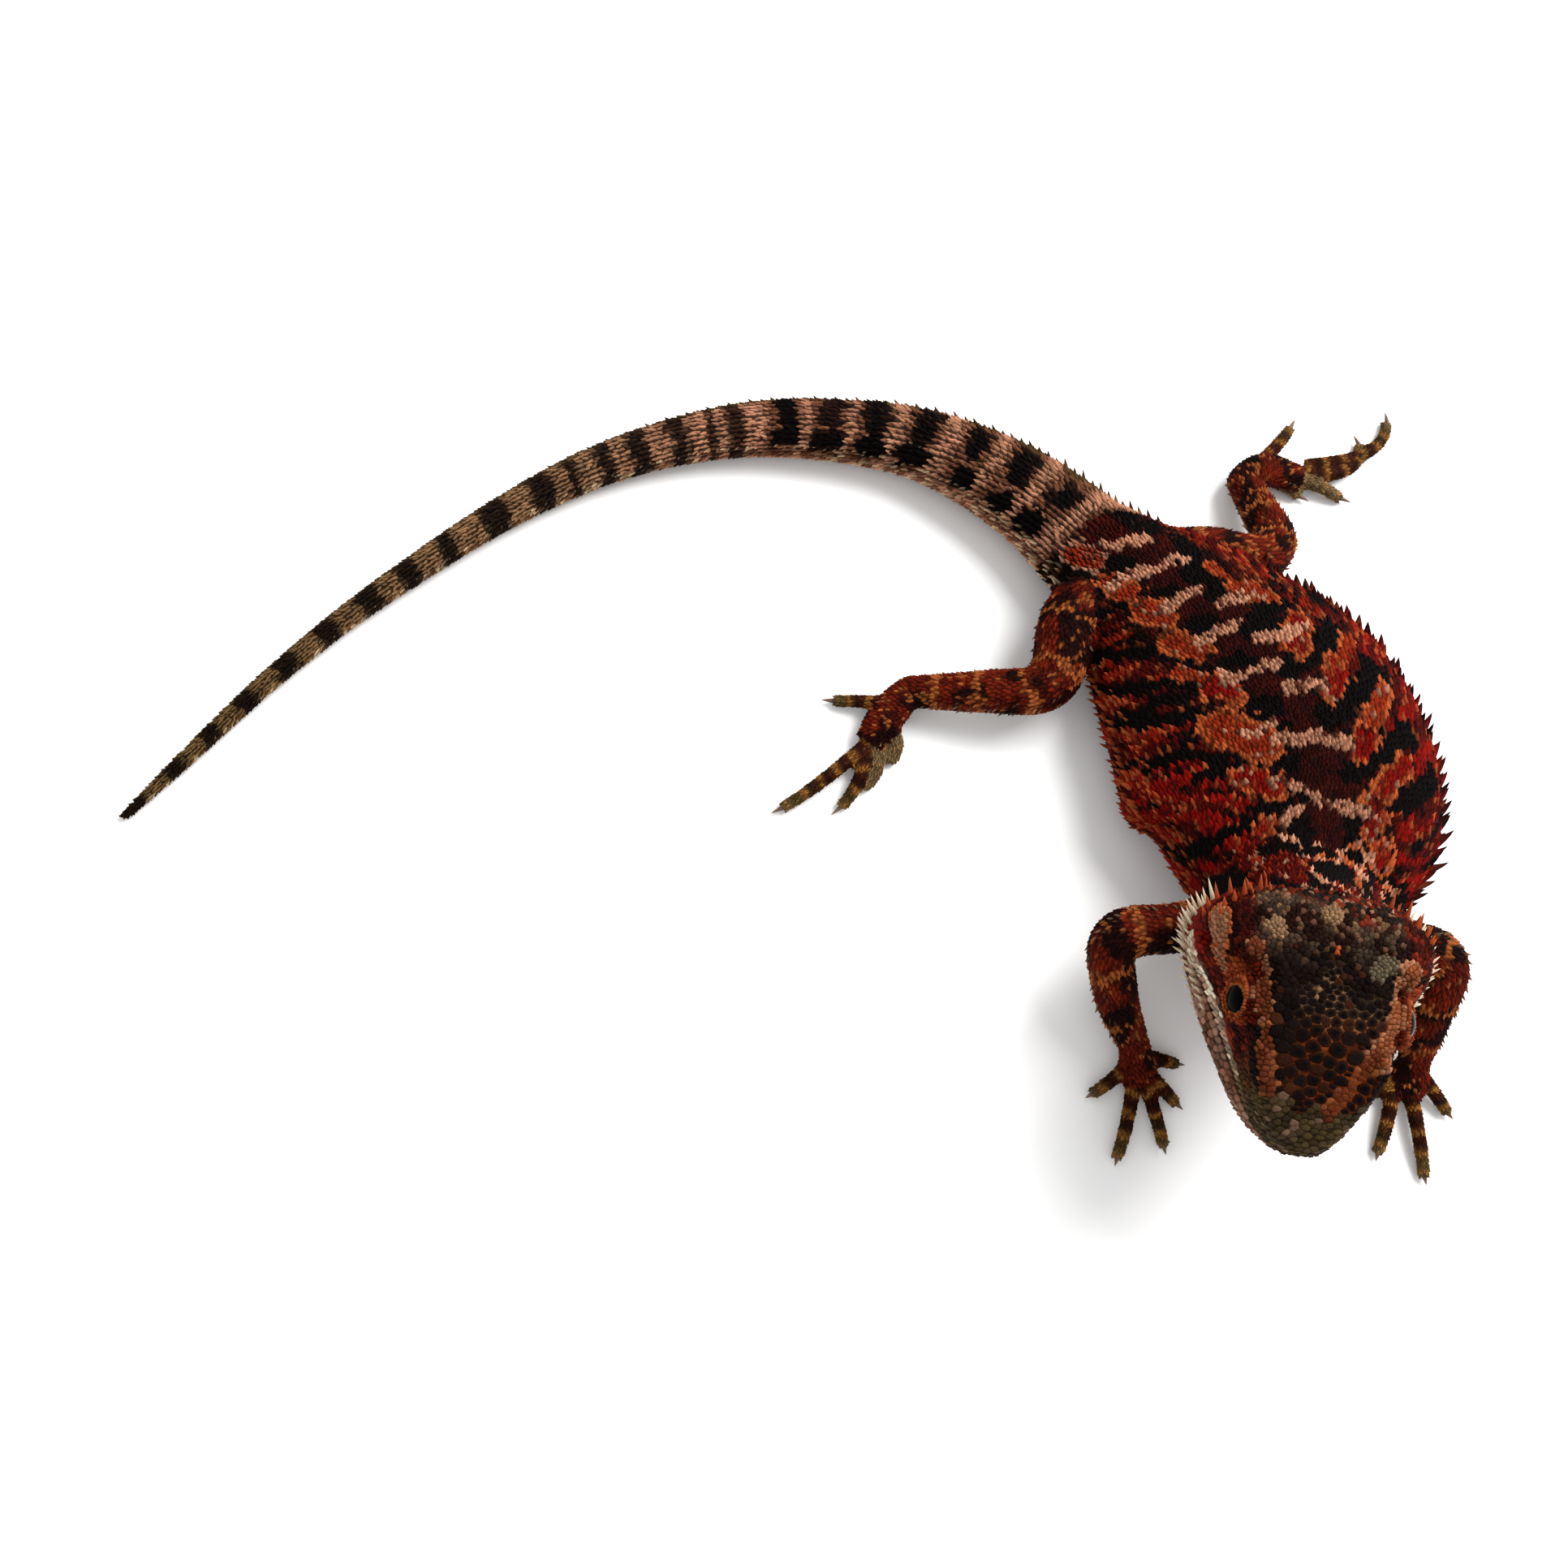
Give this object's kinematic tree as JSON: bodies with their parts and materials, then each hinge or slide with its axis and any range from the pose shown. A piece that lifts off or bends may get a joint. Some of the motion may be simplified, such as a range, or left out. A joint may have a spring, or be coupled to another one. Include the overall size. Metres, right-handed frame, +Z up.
{
  "type": "bearded dragon model",
  "caption": "Still life-size young bearded dragon lying on its belly, head raised and turned, tail swept round in an arc, spiny flanks and beard.",
  "frame": {"origin": "middle of the flat under the belly, on the floor", "axes": "+Z up from the floor, the head faces -Y and the animal's right side faces -X, so the tail's sweep runs along X"},
  "size_m": [0.2545, 0.1589, 0.0561],
  "materials": {
    "body_skin": "dry overlapping scales, orange-red with black blotches",
    "head_skin": "dark brown polygonal head scales, tan brow ridges",
    "tail_skin": "keeled scales, pinkish tan with dark bands",
    "limb_skin": "small keeled scales, dark red-brown with pale cross bars",
    "eye": "wet orange iris with a dark round pupil"
  },
  "bodies": {
    "root": {"torso": "body_skin", "neck": "body_skin", "head": "head_skin", "eye_right": "eye", "eye_left": "eye", "tail_base": "tail_skin", "tail_middle": "tail_skin", "tail_rear": "tail_skin", "tail_tip": "tail_skin", "upper_arm_right": "limb_skin", "forearm_right": "limb_skin", "hand_right": "limb_skin", "upper_arm_left": "limb_skin", "forearm_left": "limb_skin", "hand_left": "limb_skin", "thigh_right": "limb_skin", "shin_right": "limb_skin", "foot_right": "limb_skin", "thigh_left": "limb_skin", "shin_left": "limb_skin", "foot_left": "limb_skin"}
  },
  "joints": []
}
